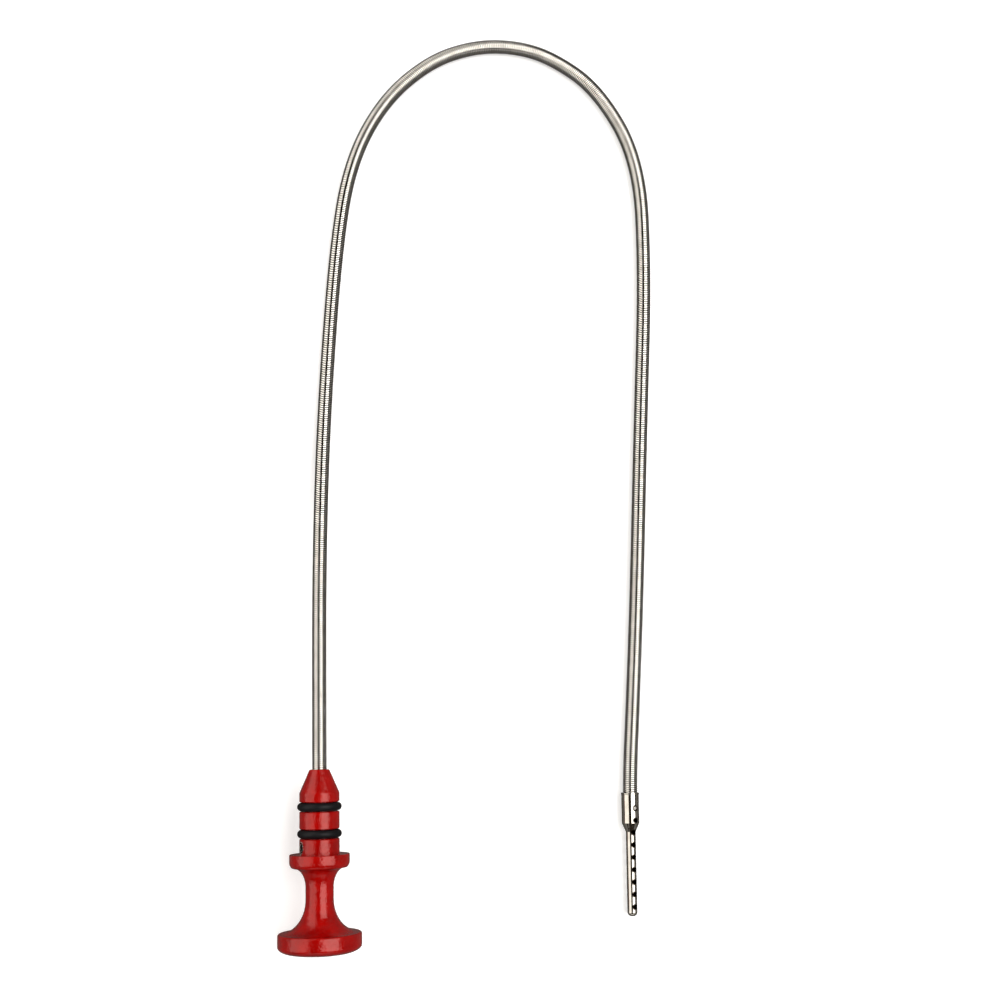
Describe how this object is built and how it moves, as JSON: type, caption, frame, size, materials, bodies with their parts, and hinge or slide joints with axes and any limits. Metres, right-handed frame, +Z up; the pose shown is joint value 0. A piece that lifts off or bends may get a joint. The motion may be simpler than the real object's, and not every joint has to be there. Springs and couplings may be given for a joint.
{
  "type": "flexible dipstick",
  "caption": "Flexible fluid dipstick: a red pull handle with two O-rings, a spring-wound steel cable laid in a wide bend, and a perforated measuring tip",
  "frame": {"origin": "the centre of the flange's seat face, on the handle's axis, where the handle meets the mouth of its tube", "axes": "+Y runs along the handle's axis towards the nose and into the tube, +Z is up from the surface that the dipstick lies on, and +X points from the handle to the tip's side of the bend"},
  "size_m": [0.1148, 0.2798, 0.0238],
  "materials": {
    "red_paint": "glossy red coating on turned aluminium",
    "ring_rubber": "satin black, slightly oily",
    "spring_wire": "bright drawn steel wire",
    "core_strand": "stranded steel cable",
    "tip_steel": "polished turned steel",
    "pin_steel": "bright steel pin, filed flush",
    "screw_steel": "black oxide"
  },
  "bodies": {
    "root": {"handle": "red_paint", "upper_o_ring": "ring_rubber", "lower_o_ring": "ring_rubber", "handle_set_screw": "screw_steel", "spring_sheath": "spring_wire", "core_cable": "core_strand", "measuring_tip": "tip_steel", "tip_pin": "pin_steel"}
  },
  "joints": []
}
